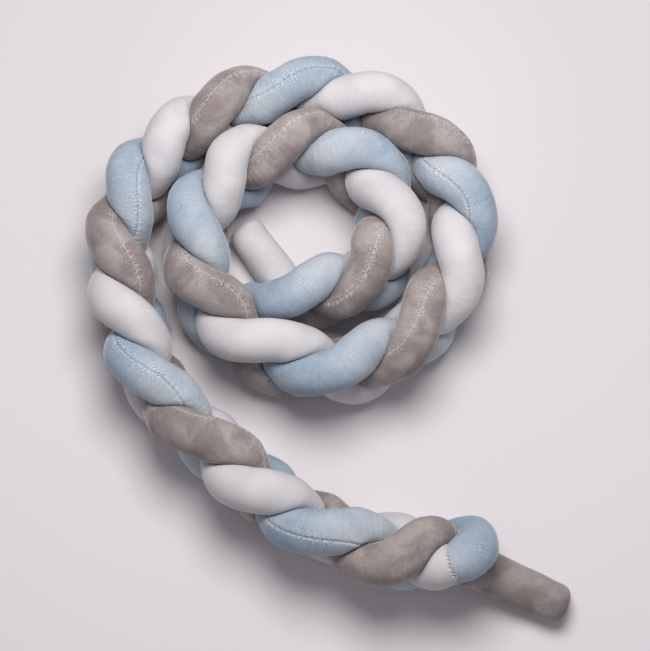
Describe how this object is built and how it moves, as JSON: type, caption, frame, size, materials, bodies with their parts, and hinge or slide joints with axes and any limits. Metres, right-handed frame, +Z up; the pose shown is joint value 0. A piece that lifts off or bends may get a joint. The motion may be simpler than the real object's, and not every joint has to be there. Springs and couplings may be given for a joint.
{
  "type": "crib bumper",
  "caption": "Plaited crib bumper of stuffed velvet strands in blue, white and taupe, stood on edge in a loose coil",
  "frame": {"origin": "on the floor under the middle of the whole bumper's box", "axes": "+Z up, +Y towards the back of the coil, +X right; the tail runs out to the front right (+X, -Y)"},
  "size_m": [0.6001, 0.7082, 0.1411],
  "materials": {
    "blue_velvet": "short-pile velvet, pale blue",
    "white_velvet": "short-pile velvet, cool white",
    "taupe_velvet": "short-pile velvet, grey taupe"
  },
  "bodies": {
    "root": {"strand_blue": "blue_velvet", "strand_white": "white_velvet", "strand_taupe": "taupe_velvet"}
  },
  "joints": []
}
